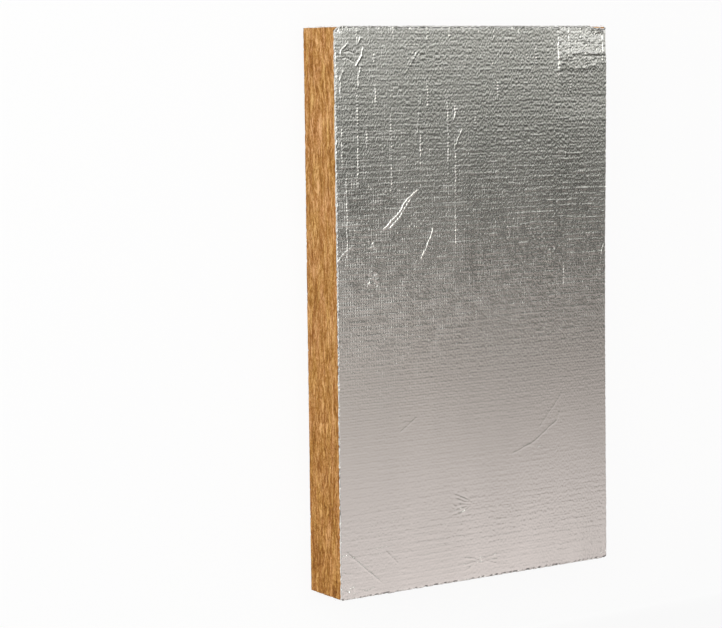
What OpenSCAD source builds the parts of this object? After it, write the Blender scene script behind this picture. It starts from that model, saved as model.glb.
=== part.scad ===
// Foil-faced stone wool slab, lying flat with its faced side up.
// Millimetres. X is the width, Y the length and Z the thickness, and the
// origin is at the middle of the underside.

/* [Slab] */
// Length, along Y
slab_length = 1000; // [600:10:1500]
// Width, along X
slab_width = 600; // [300:10:1200]
// Thickness with the facing on, along Z
slab_thickness = 100; // [30:5:250]

/* [Foil facing] */
// Thickness of the foil with its mesh and glue
foil_thickness = 0.2; // [0.1:0.05:0.8]
// Radius of the faced arris, which the foil is pressed down over
arris_radius = 3; // [1:0.5:10]

/* [Hidden] */
$fn = 48;

wool_colour = [0.72, 0.54, 0.32];
foil_colour = [0.70, 0.69, 0.67];

// Height at which the turned-down foil ends and the bare sawn edge begins
foil_edge_z = slab_thickness - arris_radius;
// What a cutting block reaches past the solid that it cuts
cut_margin = 1;

// End view of a slab that stands on y = 0, with both upper corners rounded
module rounded_section(width, height, radius) {
    middle = width / 2 - radius;
    translate([-width / 2, 0]) square([width, height - radius]);
    translate([-middle, 0]) square([2 * middle, height]);
    for (side = [-1, 1])
        translate([side * middle, height - radius]) circle(r = radius);
}

// The slab's whole shape with its faced arrises rounded. inset draws the
// sides and the top inwards, and leaves the underside where it is.
module slab_block(inset) {
    width = slab_width - 2 * inset;
    length = slab_length - 2 * inset;
    height = slab_thickness - inset;
    radius = arris_radius - inset;
    intersection() {
        translate([0, length / 2, 0]) rotate([90, 0, 0])
            linear_extrude(height = length) rounded_section(width, height, radius);
        translate([-width / 2, 0, 0]) rotate([90, 0, 90])
            linear_extrude(height = width) rounded_section(length, height, radius);
    }
}

// The wool: full size up to the foil's edge, and one foil thickness smaller above
module wool_slab() {
    color(wool_colour) union() {
        translate([-slab_width / 2, -slab_length / 2, 0])
            cube([slab_width, slab_length, foil_edge_z]);
        slab_block(foil_thickness);
    }
}

// The foil: glued on over the whole face and turned down over its four arrises
module foil_facing() {
    color(foil_colour) difference() {
        slab_block(0);
        slab_block(foil_thickness);
        translate([-slab_width / 2 - cut_margin, -slab_length / 2 - cut_margin, -cut_margin])
            cube([slab_width + 2 * cut_margin, slab_length + 2 * cut_margin, foil_edge_z + cut_margin]);
    }
}

wool_slab();
foil_facing();
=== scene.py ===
# %% [markdown]
# # A foil-faced slab of stone wool
# A slab of stone wool insulation is a sawn board of bonded rock fibre. On this one, a sheet of
# aluminium foil, stiffened by a mesh of glass threads, is glued over one whole face and pressed
# down over its edges. The slab lies on its bare wool face with the foil up.
#
# The frame gives the exact box of both pieces. Everything below is measured from it, in metres, so
# nothing has to be fitted afterwards.

# %% Load the frame
import math

import bpy
import numpy as np
from mathutils import Matrix, Vector


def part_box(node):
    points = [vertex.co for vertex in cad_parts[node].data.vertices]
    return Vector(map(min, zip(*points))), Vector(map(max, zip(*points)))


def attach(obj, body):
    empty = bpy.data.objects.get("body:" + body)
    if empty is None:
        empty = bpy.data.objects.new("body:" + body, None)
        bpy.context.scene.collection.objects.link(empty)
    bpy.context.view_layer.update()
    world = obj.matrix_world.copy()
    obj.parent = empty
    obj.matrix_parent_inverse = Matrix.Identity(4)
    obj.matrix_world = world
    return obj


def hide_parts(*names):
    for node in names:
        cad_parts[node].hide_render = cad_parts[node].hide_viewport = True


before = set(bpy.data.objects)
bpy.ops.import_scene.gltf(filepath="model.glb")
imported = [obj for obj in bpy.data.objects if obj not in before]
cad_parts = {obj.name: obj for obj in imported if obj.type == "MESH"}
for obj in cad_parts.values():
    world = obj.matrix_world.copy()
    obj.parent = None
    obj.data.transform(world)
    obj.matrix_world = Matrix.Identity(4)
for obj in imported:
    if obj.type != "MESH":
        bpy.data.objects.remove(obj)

mm = 0.001
scene = bpy.context.scene
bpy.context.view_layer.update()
foil_low, foil_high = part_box("foil_facing")
slab_width, slab_length = foil_high.x - foil_low.x, foil_high.y - foil_low.y
print("slab", [round(side, 4) for side in (slab_width, slab_length, foil_high.z)])

# %% [markdown]
# ## Where the camera stands
# A long lens from nearly four metres away keeps the slab's edges almost parallel. The camera looks
# down on the foil from the left, and it is turned so that the slab's length runs up the picture.
# Its heading could be an Euler angle, but three plain directions are easier to check.

# %% Camera
camera_lens_mm = 112.4
camera_distance = 3.926
camera_elevation = math.radians(56.14)
camera_swing = math.radians(11.4)
camera_roll = math.radians(0.67)
camera_aim = Vector((foil_low.x + 48.8 * mm, 3.2 * mm, foil_high.z))


def new_object(name, data):
    """A new object in the scene that holds a mesh, a camera or a lamp."""
    made = bpy.data.objects.new(name, data)
    scene.collection.objects.link(made)
    return made


camera_back = Vector((
    -math.cos(camera_elevation) * math.cos(camera_swing),
    math.cos(camera_elevation) * math.sin(camera_swing),
    math.sin(camera_elevation),
))
camera = new_object("camera", bpy.data.cameras.new("camera"))
camera.data.lens = camera_lens_mm
camera_right = Vector((0, 1, 0)).cross(camera_back).normalized()
camera_up = camera_back.cross(camera_right)
camera_up = camera_up * math.cos(camera_roll) + camera_right * math.sin(camera_roll)
camera_right = camera_up.cross(camera_back)
camera_turn = Matrix((camera_right, camera_up, camera_back)).transposed().to_4x4()
camera.matrix_world = Matrix.Translation(camera_aim + camera_back * camera_distance) @ camera_turn
scene.camera = camera
print("camera at", [round(c, 3) for c in camera.matrix_world.translation])

# %% [markdown]
# ## Small helpers for node trees
# Shader trees and geometry trees are built with the same few steps: add a node, set it up, and plug
# other sockets or plain values into its inputs. Short helpers keep every tree below readable.

# %% Helpers for node trees
def plug(tree, socket, value):
    """Links a socket to the input, or sets the input to a plain value."""
    if isinstance(value, bpy.types.NodeSocket):
        tree.links.new(value, socket)
    elif value is not None:
        socket.default_value = value


def add_node(tree, kind, values=None, **settings):
    """Adds a node, applies its settings, then fills the inputs named or numbered in values."""
    node = tree.nodes.new(kind)
    for name, setting in settings.items():
        setattr(node, name, setting)
    for key, value in (values or {}).items():
        plug(tree, node.inputs[key], value)
    return node


def calc(tree, operation, *values):
    """The result socket of a Math node."""
    return add_node(tree, "ShaderNodeMath", dict(enumerate(values)), operation=operation).outputs[0]


def times(tree, first, *others):
    """The product of sockets and plain numbers."""
    for other in others:
        first = calc(tree, "MULTIPLY", first, other)
    return first


def plus(tree, first, *others):
    """The sum of sockets and plain numbers."""
    for other in others:
        first = calc(tree, "ADD", first, other)
    return first


def remap(tree, value, low, high, to_low=0.0, to_high=1.0, smooth=False):
    """The result socket of a Map Range node, clamped to its range."""
    return add_node(tree, "ShaderNodeMapRange", {0: value, 1: low, 2: high, 3: to_low, 4: to_high},
                    interpolation_type="SMOOTHSTEP" if smooth else "LINEAR").outputs[0]


# %% Helpers for vectors and noise
def axes(tree, vector):
    """The x, y and z of a vector, as three sockets."""
    return add_node(tree, "ShaderNodeSeparateXYZ", {0: vector}).outputs


def vector_of(tree, **parts):
    """A vector socket from its X, Y and Z; a part left out is 0."""
    return add_node(tree, "ShaderNodeCombineXYZ", parts).outputs[0]


def vector_calc(tree, operation, first, second):
    """The result socket of a Vector Math node, which serves for colours as well."""
    return add_node(tree, "ShaderNodeVectorMath", {0: first, 1: second}, operation=operation).outputs[0]


def noise(tree, place, fineness, detail=2, roughness=0.5, seed=0):
    """A soft noise between 0 and 1; fineness is its features to the metre along x, y and z."""
    scaled = vector_calc(tree, "MULTIPLY", place, fineness)
    return add_node(tree, "ShaderNodeTexNoise", {
        "Vector": scaled, "W": seed, "Scale": 1.0, "Detail": detail, "Roughness": roughness,
    }, noise_dimensions="4D").outputs[0]


# %% Helpers for geometry trees
def new_tree(name, **inputs):
    """A geometry tree with named inputs of each kind: the tree, their sockets and its output node."""
    tree = bpy.data.node_groups.new(name, "GeometryNodeTree")
    for kind, names in inputs.items():
        for socket_name in names:
            tree.interface.new_socket(socket_name, in_out="INPUT", socket_type="NodeSocket" + kind)
    tree.interface.new_socket("Geometry", in_out="OUTPUT", socket_type="NodeSocketGeometry")
    return tree, tree.nodes.new("NodeGroupInput").outputs, tree.nodes.new("NodeGroupOutput")


def end_tree(tree, geometry, finish, result):
    """Ends a geometry tree with real meshes in one material."""
    real = add_node(tree, "GeometryNodeRealizeInstances", {"Geometry": geometry}).outputs[0]
    dressed = add_node(tree, "GeometryNodeSetMaterial", {"Geometry": real, "Material": finish}).outputs[0]
    tree.links.new(dressed, result.inputs[0])
    print(tree.name, "has", len(tree.nodes), "nodes")


def run_tree(piece, tree, inputs):
    """Runs a geometry tree on a piece with its named inputs set, and keeps the result as its mesh."""
    modifier = piece.modifiers.new(tree.name, "NODES")
    modifier.node_group = tree
    for item in tree.interface.items_tree:
        if item.in_out == "INPUT" and item.name in inputs:
            modifier[item.identifier] = inputs[item.name]
    keep_result(piece)


# %% Helpers for pieces
def mesh_piece(name, points, faces):
    """A new object in the slab's frame from points in metres and faces as lists of point numbers."""
    mesh = bpy.data.meshes.new(name)
    mesh.from_pydata(points, [], faces)
    return new_object(name, mesh)


def keep_result(piece):
    """Turns what a piece's modifiers make into its plain mesh, and takes the modifiers off."""
    evaluated = piece.evaluated_get(bpy.context.evaluated_depsgraph_get())
    made = bpy.data.meshes.new_from_object(evaluated)
    piece.modifiers.clear()
    old, piece.data = piece.data, made
    bpy.data.meshes.remove(old)
    made.name = piece.name


def triangle_count(piece):
    """How many triangles a piece's mesh comes to."""
    piece.data.calc_loop_triangles()
    return len(piece.data.loop_triangles)


def thin_out(piece, triangles):
    """Merges the flattest triangles until about the given number is left."""
    before = triangle_count(piece)
    piece.modifiers.new("thin_out", "DECIMATE").ratio = min(1.0, triangles / before)
    keep_result(piece)
    print(piece.name, "triangles", before, "->", triangle_count(piece))


def points_of(mesh):
    """A mesh's points as an array of rows x, y, z."""
    flat = np.empty(len(mesh.vertices) * 3, np.float32)
    mesh.vertices.foreach_get("co", flat)
    return flat.reshape(-1, 3).astype(float)

# %% [markdown]
# ## Finishes
# Two finishes dress the whole slab: bright rolled foil, and bonded rock fibre in golden tan. A
# picture could be laid over each, but it would blur close up and repeat over a metre. Both are made
# of nodes instead, so they have detail at any distance. Patterns read the Object coordinates, which
# are metres in the slab's frame, so a fineness of 200 makes one feature every 5 mm.

# %% Helpers for materials
def new_material(name):
    """A material with a Principled BSDF: the material, its tree, the shader and its coordinates."""
    material = bpy.data.materials.new(name)
    material.use_nodes = True
    tree = material.node_tree
    shader = tree.nodes["Principled BSDF"]
    return material, tree, shader, tree.nodes.new("ShaderNodeTexCoord").outputs["Object"]


def ramp(tree, value, *stops):
    """A colour for each value: stops are (place, (red, green, blue)), or (place, grey)."""
    node = add_node(tree, "ShaderNodeValToRGB", {0: value})
    elements = node.color_ramp.elements
    while len(elements) < len(stops):
        elements.new(0.5)
    for element, (stop, colour) in zip(elements, stops):
        shades = colour if isinstance(colour, tuple) else (colour, colour, colour)
        element.position, element.color = stop, (*shades, 1.0)
    return node.outputs[0]


def blend_colours(tree, share, first, second):
    """The first colour where the share is 0, the second where it is 1."""
    return add_node(tree, "ShaderNodeMix", {0: share, 6: first, 7: second}, data_type="RGBA").outputs[2]


def add_bump(tree, shader, relief, depth):
    """Gives the shader a bump: a relief of 1 stands as high as depth."""
    bump = add_node(tree, "ShaderNodeBump", {"Strength": 1.0, "Distance": depth, "Height": relief})
    plug(tree, shader.inputs["Normal"], bump.outputs[0])


# %% Where the foil is slack
def slackness(tree, place):
    """How deep the foil's small relief is: it comes and goes along it, and is deeper at the left."""
    across, along, _ = axes(tree, place)
    lengthwise = ramp(
        tree, remap(tree, along, -0.5, 0.5),
        (0.0, 0.53), (0.07, 0.57), (0.12, 0.50), (0.17, 0.27), (0.25, 0.17), (0.30, 0.17), (0.38, 0.20),
        (0.47, 0.32), (0.60, 0.50), (0.65, 0.50), (0.75, 0.40), (0.85, 0.28), (1.0, 0.24))
    return times(tree, lengthwise, 3.0, remap(tree, across, -0.28, 0.0, 1.5, 1.15))


# %% [markdown]
# ## The foil's finish
# Real foil of this kind is a bright metal skin on a mesh of glass threads. The threads print
# through it where the glue grips, and the skin between them is full of tiny kinks.
#
# All of this is under a millimetre deep. As real points it would need millions of triangles, so it
# is bump: waves one mesh pitch apart for the threads, and noise for the kinks, which a lower
# fineness along the slab draws out that way. All of it is deeper where the foil is slack.

# %% Threads that print through
foil_finish, tree, shader, place = new_material("bright_foil")
across, along, _ = axes(tree, place)
from_near = remap(tree, along, -0.5, 0.5)
mesh_pitch = 5.0 * mm
wobble = times(tree, noise(tree, place, (35, 35, 0), seed=6), 3 * mm)
# A wave is -1 between two threads and 1 over a thread.
waves = [
    calc(tree, "COSINE", times(tree, plus(tree, distance, wobble), 2 * math.pi / mesh_pitch))
    for distance in (across, along)
]
threads = calc(tree, "MAXIMUM", *(remap(tree, wave, 0.1, 1.0, smooth=True) for wave in waves))
crossings = times(tree, *waves)
glue_grip = remap(tree, noise(tree, place, (40, 40, 0), detail=3, roughness=0.7),
                  0.36, 0.62, 0.3, 1.1)
print_through = ramp(tree, from_near, (0.0, 0.03), (0.2, 0.03), (0.35, 0.07), (0.5, 0.06), (0.6, 0.03))

# %% Kinks of the foil
kinks = noise(tree, place, (390, 190, 0), detail=0)
coarseness = ramp(
    tree, from_near, (0.0, 0.20), (0.16, 0.24), (0.25, 0.22), (0.34, 0.28), (0.43, 0.26), (0.51, 0.20),
    (0.60, 0.165), (0.69, 0.17), (0.78, 0.24), (0.86, 0.32), (0.95, 0.37))
grain = times(tree, coarseness, remap(tree, across, -0.28, 0.1, 0.58, 1.15))
turned = add_node(tree, "ShaderNodeVectorRotate", {"Vector": place, "Angle": math.radians(-20)},
                  rotation_type="Z_AXIS").outputs[0]
crinkle = noise(tree, turned, (460, 420, 0), seed=3)
kinked = plus(tree, times(tree, kinks, grain), times(tree, crinkle, 0.06))

# %% Relief, sheen and colour of the foil
relief = plus(tree, times(tree, glue_grip, print_through, threads), kinked)
relief = plus(tree, relief, times(tree, glue_grip, 0.012, crossings))
relief = times(tree, relief, slackness(tree, place))
add_bump(tree, shader, relief, 1.0 * mm)
smears = noise(tree, place, (9, 3, 9), detail=3)
plug(tree, shader.inputs["Roughness"], remap(tree, smears, 0.3, 0.7, 0.11, 0.17))
metal = ramp(tree, smears, (0.3, (0.88, 0.87, 0.83)), (0.7, (0.83, 0.82, 0.78)))
plug(tree, shader.inputs["Base Color"], metal)
shader.inputs["Metallic"].default_value = 1.0
print(foil_finish.name, "has", len(tree.nodes), "nodes")

# %% [markdown]
# ## The wool's finish
# Stone wool is brown-gold from its binder. A sawn face shows fine streaks along its layers, hollows where
# the saw tore fibres out, pale strands, and specks of fibre ends. The streaks are darker partly in the
# wool's own colour and partly as painted shade. The torn hollows are darkened with painted shade only.
#
# One noise can't give all of these, so each has its own, drawn out along the layers. The streaks
# and hollows come from a helper, because the slab's mesh will use it too. The sum picks a tone from
# a ramp, and slow patches and a browner near end shift its hue.

# %% Streaks of the wool
def wool_pattern(tree, place):
    """Fine streaks, torn hollows and slow swells, each from 0 to 1, and the place bent into layers."""
    swell = noise(tree, place, (8, 8, 24), detail=1)
    curl = noise(tree, place, (32, 32, 45), detail=1, seed=7)
    rise = plus(tree, times(tree, swell, 0.04), times(tree, curl, 0.015))
    layered = vector_calc(tree, "ADD", place, vector_of(tree, Z=rise))
    fine = noise(tree, layered, (55, 55, 300), detail=3, roughness=0.7, seed=2)
    torn = noise(tree, layered, (140, 140, 300), roughness=0.6, seed=5)
    streaks = remap(tree, fine, 0.28, 0.74)
    tears = remap(tree, torn, 0.55, 0.72, smooth=True)
    return streaks, tears, swell, layered


# %% Light and dark of the wool, with painted shade in its hollows
wool_finish, tree, shader, place = new_material("stone_wool")
streaks, tears, _, layered = wool_pattern(tree, place)
bands = noise(tree, place, (13, 13, 110), detail=4, roughness=0.6, seed=9)
specks = noise(tree, place, (330, 330, 500), detail=1, seed=11)
strands = remap(tree, noise(tree, layered, (45, 45, 330), seed=15), 0.48, 0.72, 0, 0.6)
# Painted shade: the colour is darkened in the torn hollows and in the streaks, which the mesh sinks too. The
# streaks are also darker in the wool's own colour.
streak_tone_and_hollow_shade = plus(tree, times(tree, streaks, 1.25), times(tree, tears, 0.35))
light = plus(tree, remap(tree, bands, 0.36, 0.64, 0.32, 0.78), times(tree, specks, 1.3))
light = plus(tree, strands, calc(tree, "SUBTRACT", light, streak_tone_and_hollow_shade))
light = plus(tree, times(tree, light, 0.70), 0.085)

# %% Colour and relief of the wool
tone = ramp(tree, light, (0.0, (0.17, 0.058, 0.005)), (0.26, (0.27, 0.106, 0.015)),
            (0.53, (0.41, 0.192, 0.050)), (0.80, (0.60, 0.335, 0.138)), (1.0, (0.72, 0.43, 0.21)))
patches = noise(tree, layered, (14, 14, 70), seed=13)
from_near = remap(tree, axes(tree, place)[1], -0.5, 0.1)
for share, first, second in (
    (remap(tree, patches, 0.35, 0.65), (1.02, 0.985, 1.05, 1.0), (0.99, 1.02, 0.84, 1.0)),
    (from_near, (0.98, 0.90, 0.66, 1.0), (1.03, 1.02, 0.97, 1.0)),
):
    tone = vector_calc(tree, "MULTIPLY", tone, blend_colours(tree, share, first, second))
plug(tree, shader.inputs["Base Color"], tone)
shader.inputs["Roughness"].default_value = 0.9
grain = noise(tree, place, (500, 500, 1100), seed=4)
relief = calc(tree, "SUBTRACT", times(tree, grain, 0.8), plus(tree, streaks, tears))
add_bump(tree, shader, relief, 0.4 * mm)
print(wool_finish.name, "has", len(tree.nodes), "nodes")

# %% [markdown]
# ## The ripples of the foil
# The foil is rolled on under tension, and the crimped wool beneath it leaves a ripple across the
# whole width every 11 mm. The sheet was glued in strips, so the ripples are out of step from one
# strip to the next, and they drift, kink and fade in places.
#
# A bump in the material would show this from straight above only. Here the ripples are real: a
# Geometry Nodes tree lifts the points of a fine flat sheet. A rule makes all of them, so pitch,
# height and drift stay single numbers that can be changed.

# %% Ripple tree: where each ripple lies
ripple_tree, given, result = new_tree(
    "foil_ripples", Geometry=["Sheet"], Material=["Finish"],
    Float=["Pitch", "Height", "Strip Width", "Strip Start", "Drift", "Seed"])
tree = ripple_tree
place = add_node(tree, "GeometryNodeInputPosition").outputs[0]
across, along, _ = axes(tree, place)
strip = calc(tree, "DIVIDE", calc(tree, "SUBTRACT", across, given["Strip Start"]), given["Strip Width"])
strip_number = calc(tree, "FLOOR", strip)
steps = [
    add_node(tree, "ShaderNodeTexWhiteNoise", {"W": plus(tree, strip_number, which)},
             noise_dimensions="1D").outputs[0]
    for which in (0.37, 1.37)
]
seam = remap(tree, calc(tree, "FRACT", strip), 0.92, 1.0, smooth=True)
step_here = add_node(tree, "ShaderNodeMix", {0: seam, 2: steps[0], 3: steps[1]}).outputs[0]
wander = calc(tree, "SUBTRACT", noise(tree, place, (5, 11, 0), seed=given["Seed"]), 0.5)
jitter = noise(tree, place, (32, 45, 0), seed=7)
drift = plus(tree, times(tree, wander, given["Drift"]), times(tree, jitter, 0.6))
turns = plus(tree, calc(tree, "DIVIDE", along, given["Pitch"]), plus(tree, step_here, drift))

# %% Ripple tree: how high each ripple is
swing = remap(tree, calc(tree, "COSINE", times(tree, turns, 2 * math.pi)), -1.0, 1.0)
seam_edge = calc(tree, "SINE", times(tree, seam, math.pi))
strength = times(
    tree, remap(tree, noise(tree, place, (22, 90, 0), seed=3), 0.38, 0.62, 0.15, 1.35),
    slackness(tree, place), remap(tree, across, -0.3, 0.1, 0.7, 1.1),
    remap(tree, seam_edge, 0.0, 1.0, 1.0, 0.35))
kinks = calc(tree, "SUBTRACT", noise(tree, place, (110, 130, 0)), 0.5)
ripple = plus(tree, times(tree, swing, strength), times(tree, seam_edge, 1.5, kinks))
lift = vector_of(tree, Z=times(tree, ripple, given["Height"]))
lifted = add_node(tree, "GeometryNodeSetPosition", {"Geometry": given["Sheet"], "Offset": lift})
end_tree(tree, lifted.outputs[0], given["Finish"], result)

# %% [markdown]
# ## A fine sheet with a back
# Foil has a back as well, so the sheet is a closed skin from the start: a fine face, a much coarser
# back just below it, and one rim that both share. The lines of the face are even over the flat and
# crowded near the edges, where the sheet will turn down over the wool. Blender's Grid has one even
# spacing only, so the points are worked out here with NumPy.

# %% Sheet
sheet_spacing = 1.15 * mm
arris = foil_high.z - foil_low.z
arris_steps = 6
back_gap = 0.35 * mm
back_step = 9


def sheet_lines(low, high):
    """Places of the sheet's lines: even over the face, and crowded where it turns over an arris."""
    turn = [arris * (1 - math.cos(math.radians(90) * i / arris_steps)) for i in range(arris_steps)]
    count = round((high - low - 2 * arris) / sheet_spacing)
    face = np.linspace(low + arris, high - arris, count + 1)
    return np.concatenate([[low + t for t in turn], face, [high - t for t in reversed(turn)]])


def back_faces(number, rows, columns, first):
    """Large faces, facing down, that close the sheet: rim points are shared, the others are new."""
    coarse = number[np.ix_(rows, columns)]
    inside = coarse[1:-1, 1:-1]
    coarse[1:-1, 1:-1] = first + np.arange(inside.size).reshape(inside.shape)
    faces = []
    for i, (low, high) in enumerate(zip(rows[:-1], rows[1:])):
        for j, (left, right) in enumerate(zip(columns[:-1], columns[1:])):
            face = [coarse[i, j]]
            face += [*number[low + 1:high, 0]] if j == 0 else []
            face += [coarse[i + 1, j]]
            face += [*number[-1, left + 1:right]] if i == len(rows) - 2 else []
            face += [coarse[i + 1, j + 1]]
            face += [*number[high - 1:low:-1, -1]] if j == len(columns) - 2 else []
            face += [coarse[i, j + 1]]
            face += [*number[0, right - 1:left:-1]] if i == 0 else []
            faces.append(face)
    return faces


def large_mesh(name, points, quads, more_faces):
    """mesh_piece for a large mesh: arrays of points and four-sided faces, and a list of other faces."""
    sizes = [4] * len(quads) + [len(face) for face in more_faces]
    starts = np.concatenate([[0], np.cumsum(sizes)[:-1]])
    corners = np.concatenate([quads.ravel(), np.concatenate(more_faces)])
    mesh = bpy.data.meshes.new(name)
    mesh.vertices.add(len(points))
    mesh.vertices.foreach_set("co", np.ascontiguousarray(points, np.float32).ravel())
    mesh.loops.add(len(corners))
    mesh.loops.foreach_set("vertex_index", corners.astype(np.int32))
    mesh.polygons.add(len(sizes))
    mesh.polygons.foreach_set("loop_start", starts.astype(np.int32))
    mesh.update(calc_edges=True)
    return new_object(name, mesh)


# %% Flat sheet, then ripples
sheet_x, sheet_y = np.meshgrid(sheet_lines(foil_low.x, foil_high.x), sheet_lines(foil_low.y, foil_high.y))
face_count = sheet_x.size
number = np.arange(face_count).reshape(sheet_x.shape)
back_rows, back_columns = (
    np.linspace(0, size - 1, round(size / back_step)).astype(int) for size in sheet_x.shape
)
inner = np.ix_(back_rows[1:-1], back_columns[1:-1])
quads = np.stack([
    corner.ravel() for corner in (number[:-1, :-1], number[:-1, 1:], number[1:, 1:], number[1:, :-1])
], axis=1)
back_x, back_y = sheet_x[inner].ravel(), sheet_y[inner].ravel()
flat_points = np.concatenate([
    np.stack([sheet_x.ravel(), sheet_y.ravel(), np.zeros(face_count)], axis=1),
    np.stack([back_x, back_y, np.full(back_x.size, -back_gap)], axis=1),
])
foil = large_mesh("foil_sheet", flat_points, quads, back_faces(number, back_rows, back_columns, face_count))
run_tree(foil, ripple_tree, {
    "Pitch": 10.9 * mm, "Height": 0.060 * mm, "Strip Width": 160 * mm, "Strip Start": foil_low.x + 5 * mm,
    "Drift": 1.7, "Seed": 1.0, "Finish": foil_finish,
})
ripples = points_of(foil.data)[:face_count, 2].reshape(sheet_x.shape)
print("sheet", sheet_x.shape, "ripples from", ripples.min() / mm, "to", ripples.max() / mm, "mm")

# %% [markdown]
# ## Creases, crumples and pressed corners
# Handling has marked the foil: long straight creases where it was folded back before it was glued,
# a few diagonal ones, crumpled spots where something hit it, and corners that were pressed down.
# They could be sculpted, but a script can't repeat a hand's strokes. These are single marks that
# follow no rule, so they are added to the height of the sheet one by one. A place on the face is
# given as (across, down): millimetres from the left edge, and millimetres from the far end.

# %% Helpers for marks on the foil
face_across = (sheet_x - foil_low.x) / mm
face_down = (foil_high.y - sheet_y) / mm
face_width, face_length = slab_width / mm, slab_length / mm
marks = np.zeros_like(sheet_x)
# Large odd numbers scramble a cell's column, row and seed into a number of its own.
mix_column, mix_row, mix_seed, mix_again = 374761393, 668265263, 974634777, 1274126177


def scatter(x, y, seed):
    """Soft noise from -1 to 1 with one feature to each unit of x and y."""
    column, row = np.floor(x).astype(np.int64), np.floor(y).astype(np.int64)
    blend_x, blend_y = (t * t * (3 - 2 * t) for t in (x - column, y - row))

    def corner(right, up):
        mixed = (column + right) * mix_column + (row + up) * mix_row + seed * mix_seed
        mixed = (mixed ^ (mixed >> 13)) * mix_again
        return ((mixed ^ (mixed >> 16)) & 65535) / 32767.5 - 1

    low = corner(0, 0) * (1 - blend_x) + corner(1, 0) * blend_x
    high = corner(0, 1) * (1 - blend_x) + corner(1, 1) * blend_x
    return low * (1 - blend_y) + high * blend_y


def ramp_up(value, low, high):
    """0 below low, 1 above high, and smooth in between."""
    t = np.clip((value - low) / (high - low), 0, 1)
    return t * t * (3 - 2 * t)


# %% Pressing a crease
crease_sway = 0.9
dash_pitch = 5.4


def press_crease(height, path, width=1.1, seed=0, gaps=0.0):
    """Raises a sharp crease along a path of places on the face, or sinks it where height is below 0.

    With gaps above 0 it is broken into dashes by the threads that it crosses. All is in mm.
    """
    path = np.array(path, float)
    reach = 4 * width + 3
    low, high = path.min(0) - reach, path.max(0) + reach
    columns = np.flatnonzero((face_across[0] > low[0]) & (face_across[0] < high[0]))
    rows = np.flatnonzero((face_down[:, 0] > low[1]) & (face_down[:, 0] < high[1]))
    patch = np.ix_(rows, columns)
    across, down = face_across[patch], face_down[patch]
    sway = crease_sway * scatter(across / 14, down / 14, seed)
    nearest, travel, done = np.full(across.shape, 1e9), np.zeros(across.shape), 0.0
    for start, end in zip(path[:-1], path[1:]):
        step = end - start
        length = np.hypot(*step)
        t = np.clip(((across - start[0]) * step[0] + (down - start[1]) * step[1]) / length**2, 0, 1)
        away = np.hypot(across + sway - start[0] - t * step[0], down + sway - start[1] - t * step[1])
        travel = np.where(away < nearest, done + t * length, travel)
        nearest = np.minimum(nearest, away)
        done += length
    ends = ramp_up(travel, 0, 0.12 * done) * (1 - ramp_up(travel, 0.88 * done, done))
    breaks = 1 - gaps * (0.5 + 0.5 * np.cos(2 * math.pi * travel / dash_pitch + seed))
    marks[patch] += height * np.exp(-(nearest / width) ** 1.3) * ends * breaks


def crumple(middle, radius, count, height, seed):
    """Presses many short creases in and out within a round or oval patch."""
    draw = np.random.default_rng(seed)
    for i in range(count):
        turn, reach = draw.uniform(0, 2 * math.pi), math.sqrt(draw.uniform(0, 1))
        centre = np.array(middle) + np.array(radius) * reach * (math.cos(turn), math.sin(turn))
        lie, half = draw.uniform(0, math.pi), draw.uniform(0.15, 0.5) * min(radius)
        arm = half * np.array((math.cos(lie), math.sin(lie)))
        bend = centre + 0.3 * half * draw.uniform(-1, 1, 2)
        push = height * draw.choice((-1, 1)) * draw.uniform(0.5, 1)
        width = draw.uniform(0.8, 1.5)
        press_crease(push, (centre - arm, bend, centre + arm), width, seed + i)


# %% Long creases, as (across, from, to)
long_creases = [
    (512, 2, 70), (551, 44, 90), (549, 52, 80), (435, 35, 70), (82, 45, 63), (46, 104, 290),
    (84, 100, 146), (65, 168, 214), (116, 148, 292), (194, 94, 146), (178, 180, 246), (238, 110, 276),
    (253, 138, 164), (254, 196, 304), (253, 306, 404), (298, 150, 186), (348, 96, 130), (498, 430, 476),
    (516, 92, 122), (556, 380, 412), (14, 170, 250), (22, 250, 420),
]
for seed, (across, start, end) in enumerate(long_creases):
    path = ((across, start), (across + 1, (start + end) / 2), (across, end))
    press_crease(0.45, path, width=0.9, seed=seed, gaps=0.8)

# %% Short creases from the far rim, as (across, to)
rim_creases = [
    (47, 34), (72, 28), (123, 24), (195, 30), (243, 20), (273, 14), (307, 24), (341, 26), (397, 24),
]
for seed, (across, end) in enumerate(rim_creases, 40):
    press_crease(0.32, ((across, -8), (across + 0.6, end)), width=1.15, seed=seed, gaps=0.5)

# %% Dashes and borders of the far right-hand flap
flap_left, flap_right, dash_step = 497, 592, 8
for height, gaps, seed, *path in (
    (0.45, 1.0, 51, (488, -8), (489, 40), (489, 80)), (0.25, 0.4, 50, (487, -12), (488, 52)),
    (0.4, 0.5, 49, (513, -10), (514, 44)),
):
    press_crease(height, path, 1.2, seed, gaps)
for rank, across in enumerate(range(flap_left, flap_right, dash_step)):
    press_crease(0.3, ((across, 2), (across, 50 + 9 * (rank % 5))), width=0.9, seed=52 + rank, gaps=1.0)

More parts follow.
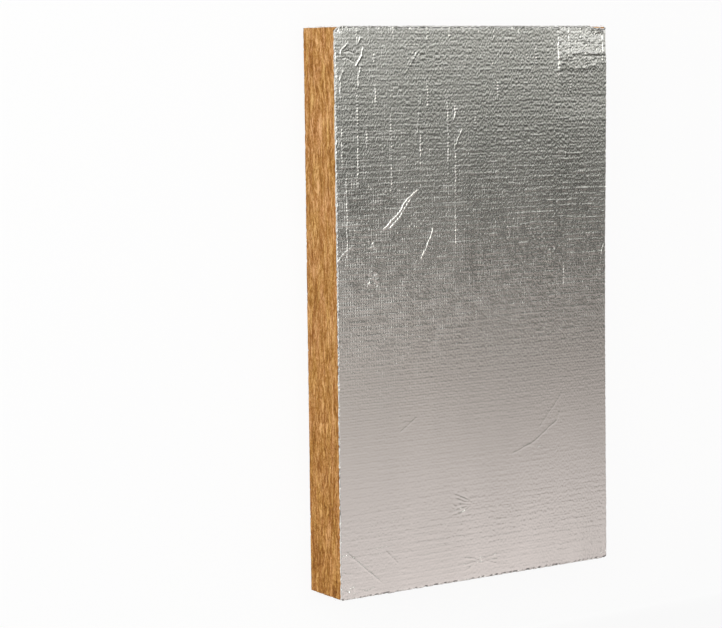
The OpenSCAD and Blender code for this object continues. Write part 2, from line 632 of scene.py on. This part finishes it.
# %% Slanting creases, as (strength, places on the path)
slants = [
    (0.80, (178, 284), (150, 301), (127, 329), (93, 357)),
    (0.70, (160, 298), (141, 321), (131, 333), (108, 354)),
    (0.75, (206, 350), (197, 375), (175, 412)), (0.55, (259, 144), (250, 166)),
    (0.55, (269, 181), (253, 214)), (0.75, (61, 34), (56, 50), (43, 70)),
    (0.5, (56, 62), (49, 84), (49, 106)), (0.5, (30, 27), (15, 40), (12, 50)),
    (-0.5, (18, 44), (30, 42), (43, 47)), (-0.45, (15, 55), (24, 53), (42, 62)),
    (0.6, (56, 18), (49, 30)), (0.35, (181, 119), (169, 206)),
    (0.55, (16, 62), (18, 77), (12, 91), (12, 128)), (0.3, (286, 38), (276, 76)),
    (0.16, (180, 36), (168, 52), (152, 68)), (0.22, (168, 52), (158, 66), (145, 84)),
    (0.35, (2, 405), (22, 384), (40, 376)), (0.35, (509, 210), (500, 250)),
    (0.40, (369, 781), (431, 759), (481, 725), (494, 694)), (0.25, (438, 738), (494, 675)),
    (0.30, (125, 717), (168, 688)), (0.95, (9, 912), (52, 950), (90, 982)),
    (0.7, (92, 920), (125, 952)), (0.9, (2, 924), (14, 922), (30, 932)),
    (0.7, (2, 952), (28, 957)), (0.6, (34, 985), (52, 990), (76, 986)),
    (0.55, (596, 398), (589, 425), (587, 470)), (-0.6, (547, 4), (549, 18), (562, 31), (590, 33)),
    (0.9, (540, -14), (541, 24)), (0.8, (563, 3), (583, 7), (595, 13)),
    (-0.7, (570, 12), (576, 16)), (-0.7, (584, 13), (588, 18)), (0.9, (590, 14), (591, 40), (589, 66)),
]
slant_height = 0.75
for seed, (strength, *path) in enumerate(slants, 60):
    press_crease(slant_height * strength, path, width=1.05, seed=seed, gaps=0.3)

# %% Broad low folds in the flap, as (height, width, places on the path)
broad_folds = [
    (0.24, 2.6, (540, 12), (552, 26), (575, 31), (598, 24)), (0.18, 2.8, (558, 4), (580, 9), (598, 17)),
    (0.20, 3.6, (500, 50), (545, 47), (594, 52)), (0.16, 3.6, (505, 74), (545, 76), (594, 73)),
]
for seed, (height, width, *path) in enumerate(broad_folds, 100):
    press_crease(height, path, width, seed)

# %% Crumpled spots, as (middle, radius, count of creases, height, seed)
crumpled_spots = [
    ((172, 50), (9, 8), 12, 0.25, 11), ((72, 379), (9, 7), 10, 0.35, 12),
    ((74, 440), (13, 14), 16, 0.4, 13), ((470, 413), (12, 12), 10, 0.25, 14),
    ((262, 856), (22, 24), 26, 0.16, 15), ((303, 966), (14, 8), 16, 0.5, 16),
    ((572, 14), (20, 9), 8, 0.4, 17), ((592, 985), (6, 12), 14, 0.6, 19),
    ((14, 984), (18, 12), 26, 0.55, 20),
]
for spot in crumpled_spots:
    crumple(*spot)

# %% A dent with ribs, and creases that spread from a poke
for rib in range(5):
    rise = 0.22 if rib % 2 else -0.22
    upper = ((243 + 3 * rib, 834 + 5 * rib), (268, 846 + 3 * rib), (288, 857 + rib))
    lower = ((237 + 4 * rib, 880 - 5 * rib), (264, 875 - 4 * rib), (286, 862))
    press_crease(rise, upper, seed=15 + rib)
    press_crease(-rise, lower, seed=30 + rib)
poke = np.array((303, 966))
for turn in (150, 168, 195, 350, 8, 22):
    arm = np.array((math.cos(math.radians(turn)), 0.8 * math.sin(math.radians(turn))))
    press_crease(0.35, (poke + 8 * arm, poke + 42 * arm), seed=90 + turn)
print("marks from", round(marks.min(), 2), "to", round(marks.max(), 2), "mm")

# %% [markdown]
# ## Turning the foil down over its edges
# The sheet's last 3 mm turn down over the wool's arris. The height falls along a quarter of a
# circle, and near each corner the plan is pulled from a square onto a round, because a pressed
# corner is never sharp. The turn is wider where the foil was pressed harder, and the rim is ragged,
# because the knife tears foil as it runs through the wool beneath. A Bevel modifier would round
# every edge alike, so the drop is worked out for each point instead.

# %% Rounded outline and arrises
corner_radii = {(-1, 1): 14.0 * mm, (1, 1): 3.0 * mm, (-1, -1): 4.0 * mm, (1, -1): 3.0 * mm}
widest_turn = 2.6


def past_corners(x, y):
    """Each rounded corner's sides and radius, and how far x and y lie past its middle."""
    for (side_x, side_y), radius in corner_radii.items():
        past_x = side_x * x - (slab_width / 2 - radius)
        past_y = side_y * y - (slab_length / 2 - radius)
        yield side_x, side_y, radius, past_x, past_y, (past_x > 0) & (past_y > 0)


def edge_distance(x, y):
    """How far a place on the face lies inside the foil's rounded outline."""
    distance = np.minimum(slab_width / 2 - np.abs(x), slab_length / 2 - np.abs(y))
    for _, _, radius, past_x, past_y, inside in past_corners(x, y):
        distance = np.where(inside, radius - np.hypot(past_x, past_y), distance)
    return distance


def quarter_turn(t):
    """The drop along a quarter circle: 1 at its foot, where t is 0, and 0 where t reaches 1."""
    return 1 - np.sqrt(1 - np.clip(1 - t, 0, 1) ** 2)


def corner_press(x, y):
    """How far the two far corners are pressed down; the right one also droops."""
    left = 1.5 * mm * np.exp(-np.hypot(x - foil_low.x, y - foil_high.y) / (11 * mm))
    right = 1.0 * mm * np.exp(-np.hypot((x - foil_high.x) / 2, y - foil_high.y) / (9 * mm))
    droop = np.interp((foil_high.y - y) / mm, [0, 70, 170], [2.2, 0.9, 0.0]) * mm
    return left + right + droop * ramp_up((x - foil_low.x) / mm, 430, 530)


def bowed(x, y):
    """Moves x near the right edge, which bends out at both ends and in at the middle."""
    places = [-0.50, -0.45, -0.28, -0.10, 0.09, 0.27, 0.42, 0.50]
    bow = np.interp(y, places, [1.4, 1.2, 0.0, -1.5, -1.5, 0.2, 1.5, 1.7]) * mm
    return x + bow * ramp_up(x, 0.24, 0.30)


# %% Where the edges lie
from_side = np.minimum(face_across, face_width - face_across)
from_end = np.minimum(face_down, face_length - face_down)
from_edge = np.minimum(from_side, from_end)
at_side = from_side <= from_end
far_end = face_down < face_length / 2
along_rim, side_of_rim = face_across + face_down, (face_across - face_down) / 60

# %% The turn over the arris, wider where the two far corners were pressed
turn = np.where(at_side, 0.45, 0.35) * (1 + 0.6 * scatter(face_across / 11, face_down / 11, 5))
turn += 1.1 * np.exp(-((face_down - 82) / 24) ** 2) * (face_across < 30) * at_side
turn += 1.5 * np.exp(-((face_down - 32) / 26) ** 2) * (face_across > 570) * at_side
turned_down = arris * quarter_turn(from_edge * mm / (np.clip(turn, 0.3, widest_turn) * arris))

# %% Torn rim, dented ends and pressed corners
torn = 0.8 + 1.1 * ramp_up(scatter(along_rim / 5, side_of_rim, 8), 0.1, 0.8)
torn += np.where(far_end, 0.4, 0.7) * scatter(along_rim / 2.4, side_of_rim, 9)
torn += 0.6 * (face_across < 300) * np.interp(face_down, [330, 420, 780, 880], [0, 1, 1, 0]) * at_side
turned_down = np.minimum(turned_down, arris * 1.05 - torn * mm)
dent_length, dent_rise = np.where(far_end, 3.0, 2.1), np.where(far_end, 0.15, 0.35)
dent_slope, dent_reach = np.where(far_end, 0.6, 0.55), np.where(far_end, 4.0, 4.4)
dented = ramp_up(scatter(along_rim / dent_length, side_of_rim, 12), -0.15, dent_rise)
turned_down += dent_slope * dented * np.clip(dent_reach - from_end, 0, None) * mm
turned_down += corner_press(sheet_x, sheet_y)
print("edges turned down by up to", round(turned_down.max() / mm, 2), "mm")

# %% Height of the face, with the lumps of the flap and the beads of the rim
flap = ramp_up(face_across, 486, 489) * (1 - ramp_up(face_down, 60, 100))
bulge_rim = face_across + 1.5 * scatter(face_down / 2.7, face_across * 0, 25)
bulge = 0.85 * ramp_up(bulge_rim, 484, 494) * np.interp(face_down, [0, 50, 130], [0, 1, 0])
lumps = bulge + flap * (0.10 * scatter(face_across / 3.6, face_down / 4.2, 23)
                        + 0.16 * scatter(face_across / 10, face_down / 9, 24))
beads = 0.4 * scatter(along_rim / 2.3, side_of_rim, 11) * (1 - ramp_up(from_edge, 0.8, 3.6))
top_height = foil_high.z + ripples + mm * (marks * ramp_up(from_edge, 0, 2) + beads + lumps)

# %% Outline of the face
crimp = 0.45 * (1 + scatter(along_rim / 3, side_of_rim, 10)) * (1 - ramp_up(from_edge, 0, 3))
plan_x = sheet_x - np.sign(sheet_x) * np.where(at_side, crimp, 0) * mm
plan_y = sheet_y - np.sign(sheet_y) * np.where(at_side, 0, crimp) * mm
stands_out = np.where(far_end, 1.9 - 3.6 * ramp_up(face_across, 560, 576), 1.2)
plan_y += np.sign(plan_y) * ramp_up(12 - from_end, 0, 12) * stands_out * mm
for side_x, side_y, radius, past_x, past_y, inside in past_corners(sheet_x, sheet_y):
    pull = np.maximum(past_x, past_y) / np.maximum(np.hypot(past_x, past_y), 1e-9)
    plan_x = np.where(inside, side_x * (slab_width / 2 - radius + past_x * pull), plan_x)
    plan_y = np.where(inside, side_y * (slab_length / 2 - radius + past_y * pull), plan_y)
plan_x = bowed(plan_x, plan_y)

# %% [markdown]
# ## Shaping the closed sheet
# The points of the mesh now take their worked-out places. Each point of the back lies a little below
# the lowest part of the face around it, so the two never touch. Most of the million triangles lie
# on flat stretches, so the sheet is thinned out at the end: creases and ripples keep theirs.

# %% Foil in its final shape
foil_triangles = 196_000
lowest = top_height.copy()
for axis in (0, 1):
    for _ in range(back_step):
        lowest = np.minimum(lowest, np.minimum(np.roll(lowest, 1, axis), np.roll(lowest, -1, axis)))
face_points = np.stack([plan_x, plan_y, top_height - turned_down], axis=-1)
back_points = np.stack([plan_x, plan_y, lowest - back_gap - turned_down], axis=-1)[inner]
final = np.concatenate([face_points.reshape(-1, 3), back_points.reshape(-1, 3)])
foil.data.vertices.foreach_set("co", final.astype(np.float32).ravel())
foil.data.update()
thin_out(foil, foil_triangles)
foil.data.shade_smooth()
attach(foil, "root")
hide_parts("foil_facing")

# %% [markdown]
# ## The wool
# The slab is sawn from a long mat of rock fibres. The fibres lie in thin wavy layers, so the sawn
# edges show streaks along the slab, with small torn hollows between them.
#
# A box with a noise in its material would look printed. So a Geometry Nodes tree makes a box of fine grids
# and moves each point along its face's normal, always inwards, as the saw tears fibres out and never adds
# any. The streaks come from the same helper as those of the wool's material. So a streak that the material
# darkens, with its own colour and with painted shade, is also a real hollow.

# %% Wool tree
wool_tree, given, result = new_tree(
    "sawn_wool", Geometry=["Start"], Vector=["Size"], Int=["Cells Across", "Cells Along", "Cells Up"],
    Float=["Hollow Depth", "Sway"], Material=["Finish"])
tree = wool_tree
block = add_node(tree, "GeometryNodeMeshCube", {
    "Size": given["Size"], "Vertices X": given["Cells Across"], "Vertices Y": given["Cells Along"],
    "Vertices Z": given["Cells Up"],
}).outputs[0]
half_up = vector_calc(tree, "MULTIPLY", given["Size"], (0, 0, 0.5))
lying = add_node(tree, "GeometryNodeSetPosition", {"Geometry": block, "Offset": half_up}).outputs[0]
place = add_node(tree, "GeometryNodeInputPosition").outputs[0]
streaks, tears, sways, _ = wool_pattern(tree, place)
hollows = plus(tree, times(tree, streaks, 0.45), times(tree, tears, 0.8))
inwards = plus(tree, times(tree, hollows, given["Hollow Depth"]), times(tree, sways, given["Sway"]))
outwards = add_node(tree, "GeometryNodeInputNormal").outputs[0]
offset = vector_calc(tree, "MULTIPLY", outwards, times(tree, inwards, -1.0))
torn = add_node(tree, "GeometryNodeSetPosition", {"Geometry": lying, "Offset": offset}).outputs[0]
end_tree(tree, torn, given["Finish"], result)

# %% [markdown]
# ## Fitting the wool under its foil
# The tree's box has sharp arrises, and the foil turns down over rounded ones. So the box's arrises
# are rounded, and its top is cut to a lid that follows the foil's drop half a millimetre lower.
# A boolean cut with the foil could do this too, but it is slow and leaves slivers on a fine mesh.

# %% Torn box
wool_top = foil_low.z + 1.0 * mm
wool_arris = 2.0 * mm
under_foil = 0.5 * mm
wool_triangles = 190_000

wool = mesh_piece("sawn_wool", [(0, 0, 0)], [])
run_tree(wool, wool_tree, {
    "Size": (slab_width, slab_length, wool_top), "Cells Across": 200, "Cells Along": 430, "Cells Up": 62,
    "Hollow Depth": 1.5 * mm, "Sway": 1.6 * mm, "Finish": wool_finish,
})
points = points_of(wool.data)
print("torn box from", points.min(0).round(4), "to", points.max(0).round(4))

# %% Rounded arrises
middle = np.array((0, 0, wool_top / 2))
flat_part = np.array((slab_width, slab_length, wool_top)) / 2 - wool_arris
past_flat = np.maximum(np.abs(points - middle) - flat_part, 0)
reach = np.linalg.norm(past_flat, axis=1, keepdims=True)
rounded = np.sign(points - middle) * (flat_part + past_flat * wool_arris / np.maximum(reach, 1e-9)) + middle
near_arris = ((past_flat > 0).sum(axis=1, keepdims=True) > 1) & (reach > wool_arris)
points = np.where(near_arris & (past_flat > 0), rounded, points)

# %% Wool slab
inside_foil = edge_distance(points[:, 0], points[:, 1])
foil_drop = arris * quarter_turn(inside_foil / (widest_turn * arris)) - 0.3 * np.minimum(inside_foil, 0)
lid = foil_high.z - under_foil - foil_drop - corner_press(points[:, 0], points[:, 1])
points[:, 2] = np.clip(points[:, 2], 0, lid)
points[:, 0] = bowed(points[:, 0], points[:, 1])
wool.data.vertices.foreach_set("co", points.astype(np.float32).ravel())
wool.data.update()
print("wool from", points.min(0).round(4), "to", points.max(0).round(4))
thin_out(wool, wool_triangles)
wool.data.shade_smooth()
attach(wool, "root")
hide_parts("wool_slab")

# %% [markdown]
# ## Loose fibres
# The saw leaves single fibres sticking to the wool's four sawn faces. Each is a bent thread a
# few millimetres long, which lies almost flat on the face and mostly along the slab.
#
# Hair curves have no thickness in an exported mesh, and thousands are too many to model by hand.
# So a Geometry Nodes tree makes one bent three-sided thread, scatters it over the faces that stand
# upright, and turns and sizes each copy at random with a fixed seed.

# %% Fibre tree: one bent thread
fibre_tree, given, result = new_tree(
    "loose_fibres", Geometry=["Wool"], Float=["Density", "Length", "Thickness", "Rise", "Spread"],
    Int=["Seed"], Material=["Finish"])
tree = fibre_tree
fibre_steps, fibre_sides = 4, 3
bow = add_node(tree, "GeometryNodeCurveQuadraticBezier", {
    "Resolution": fibre_steps, "Start": vector_of(tree, X=times(tree, given["Length"], -0.5)),
    "Middle": vector_of(tree, Y=times(tree, given["Length"], 0.15), Z=times(tree, given["Rise"], 2.0)),
    "End": vector_of(tree, X=times(tree, given["Length"], 0.5)),
}).outputs[0]
section = add_node(tree, "GeometryNodeCurvePrimitiveCircle", {
    "Resolution": fibre_sides, "Radius": times(tree, given["Thickness"], 0.5),
}).outputs[0]
fibre = add_node(tree, "GeometryNodeCurveToMesh",
                 {"Curve": bow, "Profile Curve": section, "Fill Caps": True}).outputs[0]

# %% Fibre tree: where fibres stick
lowest_fibre, highest_fibre = 9 * mm, 90 * mm
_, _, upwards = axes(tree, add_node(tree, "GeometryNodeInputNormal").outputs[0])
upright = calc(tree, "LESS_THAN", calc(tree, "ABSOLUTE", upwards), 0.6)
_, _, level = axes(tree, add_node(tree, "GeometryNodeInputPosition").outputs[0])
sawn = times(tree, calc(tree, "GREATER_THAN", level, lowest_fibre),
             calc(tree, "LESS_THAN", level, highest_fibre), upright)
scattered = add_node(tree, "GeometryNodeDistributePointsOnFaces", {
    "Mesh": given["Wool"], "Selection": sawn, "Density": given["Density"], "Seed": given["Seed"],
})


# %% Fibre tree: how each fibre lies
def random_number(tree, low, high, seed):
    """A random number for each point."""
    return add_node(tree, "FunctionNodeRandomValue", {2: low, 3: high, "Seed": seed}).outputs[1]


standing = add_node(tree, "FunctionNodeAlignRotationToVector",
                    {"Vector": scattered.outputs["Normal"]}, axis="Z").outputs[0]
along_slab = add_node(tree, "FunctionNodeAlignRotationToVector",
                      {"Rotation": standing, "Vector": (0.3, 1.0, 0.0)}, axis="X", pivot_axis="Z").outputs[0]
spin = random_number(tree, times(tree, given["Spread"], -1.0), given["Spread"], 1)
about_normal = add_node(tree, "FunctionNodeAxisAngleToRotation",
                        {"Axis": (0, 0, 1), "Angle": spin}).outputs[0]
lie = add_node(tree, "FunctionNodeRotateRotation", {0: along_slab, 1: about_normal},
               rotation_space="LOCAL").outputs[0]
copies = add_node(tree, "GeometryNodeInstanceOnPoints", {
    "Points": scattered.outputs["Points"], "Instance": fibre, "Rotation": lie,
    "Scale": random_number(tree, 0.5, 1.3, 2),
}).outputs[0]
end_tree(tree, copies, given["Finish"], result)

# %% Loose fibres
fibres = new_object("loose_fibres", wool.data.copy())
run_tree(fibres, fibre_tree, {
    "Density": 21000.0, "Length": 10 * mm, "Thickness": 0.22 * mm, "Rise": 0.9 * mm, "Spread": 0.7,
    "Seed": 8, "Finish": wool_finish,
})
spots = points_of(fibres.data)
points_per_fibre = (fibre_steps + 1) * fibre_sides
print("fibres", len(spots) // points_per_fibre, "triangles", triangle_count(fibres))
print("fibres from", spots.min(0).round(4), "to", spots.max(0).round(4))
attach(fibres, "root")

# %% [markdown]
# ## The sky
# Foil is a blurred mirror, so it shows the studio more than its own colour. Its far half mirrors a
# dim, mottled band of sky, which is brighter further off and higher up. Other angles mirror plain
# parts: a light patch just right of straight overhead, an even grey to the left and far off, and
# white low down. To the camera all of it is white. A lamp for each part could do this too, but the
# foil would show each lamp's edges.

# %% World
world = bpy.data.worlds.new("studio")
scene.world = world
world.use_nodes = True
tree = world.node_tree
white = (1.0, 1.0, 1.0, 1.0)
direction = tree.nodes.new("ShaderNodeTexCoord").outputs["Generated"]
left_to_right, near_to_far, height = axes(tree, direction)

# %% Dim band that the far half mirrors
band = ramp(tree, remap(tree, near_to_far, -0.3, 0.3), (0.20, 0.03), (0.36, 0.05), (0.42, 0.10),
            (0.48, 0.20), (0.54, 0.31), (0.62, 0.44), (0.72, 0.95), (0.86, 0.3), (1.0, 0.04))
rise_near = ramp(tree, height, (0.60, 0.18), (0.74, 0.26), (0.80, 0.50), (0.87, 0.80), (0.95, 1.0))
rise_far = ramp(tree, height, (0.60, 0.55), (0.75, 0.82), (0.80, 0.72), (0.87, 0.72), (0.95, 0.9))
rise = blend_colours(tree, remap(tree, near_to_far, -0.08, 0.0), rise_near, rise_far)
mottle = remap(tree, noise(tree, direction, (20, 20, 20), detail=1), 0.35, 0.65, 0.5, 1.5)
tint = blend_colours(tree, remap(tree, near_to_far, 0.03, 0.12),
                     (1.98, 2.0, 1.88, 1.0), (2.0, 2.0, 2.0, 1.0))
overhead = band
for factor in (rise, mottle, tint):
    overhead = vector_calc(tree, "MULTIPLY", overhead, factor)

# %% Plain parts of the sky
patch = times(tree, remap(tree, height, 0.90, 0.93, 0.0, 1.3), remap(tree, left_to_right, 0.08, 0.16))
plain_grey = 0.26
left_sky = remap(tree, left_to_right, -0.30, -0.10, plain_grey, 0.0)
far_sky = remap(tree, near_to_far, 0.44, 0.54, 0.0, plain_grey)
for part in (patch, calc(tree, "MAXIMUM", left_sky, far_sky)):
    overhead = vector_calc(tree, "ADD", overhead, part)
sky = blend_colours(tree, remap(tree, height, 0.26, 0.50), white, overhead)
seen = tree.nodes.new("ShaderNodeLightPath").outputs["Is Camera Ray"]
plug(tree, tree.nodes["Background"].inputs["Color"], blend_colours(tree, seen, sky, white))
print("sky has", len(tree.nodes), "nodes")

# %% [markdown]
# ## Floor
# The floor is plain and pale, and keeps the slab's soft shadow. It could be made white with more
# light, but that would bleach the slab. Instead it glows white for the camera and in mirrors only.

# %% Floor
floor_size = 12.0
floor_gap = 0.3 * mm
glow_share = 0.92
floor = mesh_piece("floor", [
    (x * floor_size / 2, y * floor_size / 2, -floor_gap) for x, y in ((-1, -1), (1, -1), (1, 1), (-1, 1))
], [(0, 1, 2, 3)])
floor_finish, tree, shader, _ = new_material("pale_floor")
shader.inputs["Base Color"].default_value = (0.80, 0.80, 0.79, 1.0)
shader.inputs["Roughness"].default_value = 0.6
glow = add_node(tree, "ShaderNodeEmission")
paths = tree.nodes.new("ShaderNodeLightPath").outputs
seen = calc(tree, "MAXIMUM", paths["Is Camera Ray"], paths["Is Glossy Ray"])
blend = add_node(tree, "ShaderNodeMixShader", {
    0: times(tree, seen, glow_share), 1: shader.outputs[0], 2: glow.outputs[0],
})
plug(tree, tree.nodes["Material Output"].inputs["Surface"], blend.outputs[0])
floor.data.materials.append(floor_finish)
print("floor", floor_size, "m wide")

# %% [markdown]
# ## Card past the near end
# The near half of the foil mirrors a tall warm-white card that stands just past the near end, so
# that half is light. The card is brightest low down, above a dim foot, fades to the right, and is
# lighter again at its upper left. An area lamp in its place would have one brightness all over,
# and a glowing card's can be drawn with a few nodes. The camera can't see it.

# %% Card
card_foot, card_top = 0.02, 5.5
card_left, card_right = -0.35, 5.0
card_y = foil_low.y - 0.14
card = mesh_piece("card", [
    (card_left, card_y, card_foot), (card_left, card_y, card_top), (card_right, card_y, card_top),
    (card_right, card_y, card_foot),
], [(0, 1, 2, 3)])
card_finish, tree, shader, place = new_material("white_card")
right, _, height = axes(tree, place)
slope = calc(tree, "DIVIDE", height, plus(tree, right, 0.4))
dim_foot = times(tree, remap(tree, height, 0.17, 0.28, 0.3, 1.0), remap(tree, slope, 0.3, 0.55, 0.5, 1.0))
upper_left = times(tree, remap(tree, height, 2.2, 4.8, 0.0, 0.32), remap(tree, slope, 1.1, 1.7))
shade = times(tree, dim_foot, plus(tree, upper_left, 1.0))
falling = times(tree, calc(tree, "POWER", height, -0.21), remap(tree, right, 0.8, 3.4, 0.67, 0.40))
warm = blend_colours(tree, remap(tree, height, 1.0, 4.0), (1.0, 0.914, 0.910, 1.0), (1.0, 0.912, 0.858, 1.0))
glow = add_node(tree, "ShaderNodeEmission", {"Color": warm, "Strength": times(tree, falling, shade)})
plug(tree, tree.nodes["Material Output"].inputs["Surface"], glow.outputs[0])
card.data.materials.append(card_finish)
card.visible_camera = False
print("card", card_right - card_left, "by", card_top - card_foot, "m")


# %% [markdown]
# ## Lamps
# Two wide soft lamps give plain studio light: a key from the left, which lights the sawn edge, and
# a fill from above. A small lamp would be sharper and leave a hard shadow. Neither shows in the
# foil, because its bright square would be taken for a mark on the slab.

# %% Lamps
def softbox(name, place, aim, size, watts):
    """A rectangular area lamp that points at aim; size is its width and its length."""
    lamp = new_object(name, bpy.data.lights.new(name, "AREA"))
    lamp.data.shape, lamp.data.size, lamp.data.size_y, lamp.data.energy = "RECTANGLE", *size, watts
    lamp.location = place
    lamp.rotation_euler = (Vector(place) - Vector(aim)).to_track_quat("Z", "Y").to_euler()
    lamp.visible_camera = lamp.visible_glossy = False
    print(name, watts, "W")


softbox("key_left", (-2.4, 1.2, 1.5), (foil_low.x, 0, 0.05), (2.6, 2.6), 46)
softbox("overhead", (0.0, 0.0, 2.8), (0.0, 0, 0), (1.2, 3.2), 28)
scene.view_settings.view_transform = "Standard"
